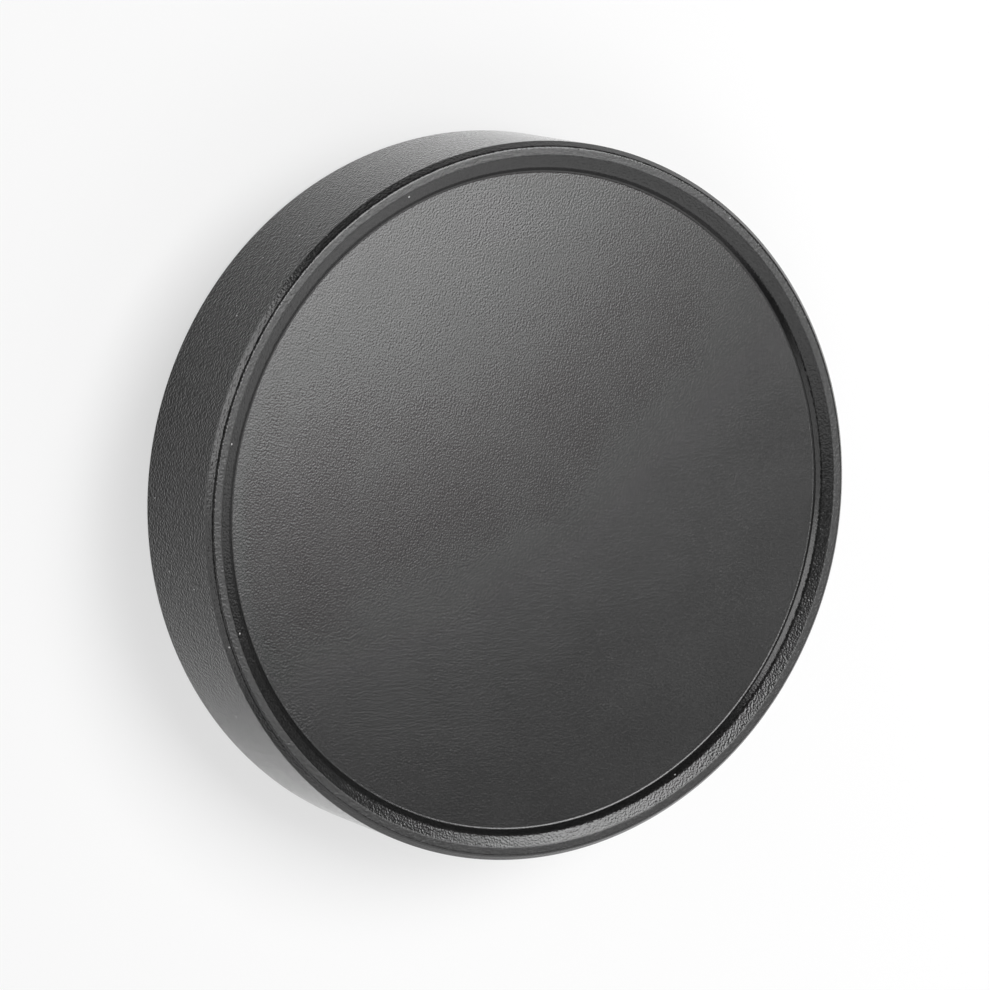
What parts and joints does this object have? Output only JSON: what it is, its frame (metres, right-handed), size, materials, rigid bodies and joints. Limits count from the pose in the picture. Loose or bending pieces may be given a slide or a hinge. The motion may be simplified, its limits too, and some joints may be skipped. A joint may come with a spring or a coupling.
{
  "type": "camera lens cap",
  "caption": "Round push-on lens cap in black grained plastic: a sunk front panel inside a stepped rim, with a plain skirt that slides over the lens's front ring.",
  "frame": {"origin": "centre of the skirt's open edge, in the plane that it rests on", "axes": "+Z along the cap's axis, out of the front face; X and Y are alike, because the cap is round"},
  "size_m": [0.0838, 0.0838, 0.0164],
  "materials": {
    "black_plastic": "satin black, fine moulded grain"
  },
  "bodies": {
    "root": {"lens_cap": "black_plastic"}
  },
  "joints": []
}
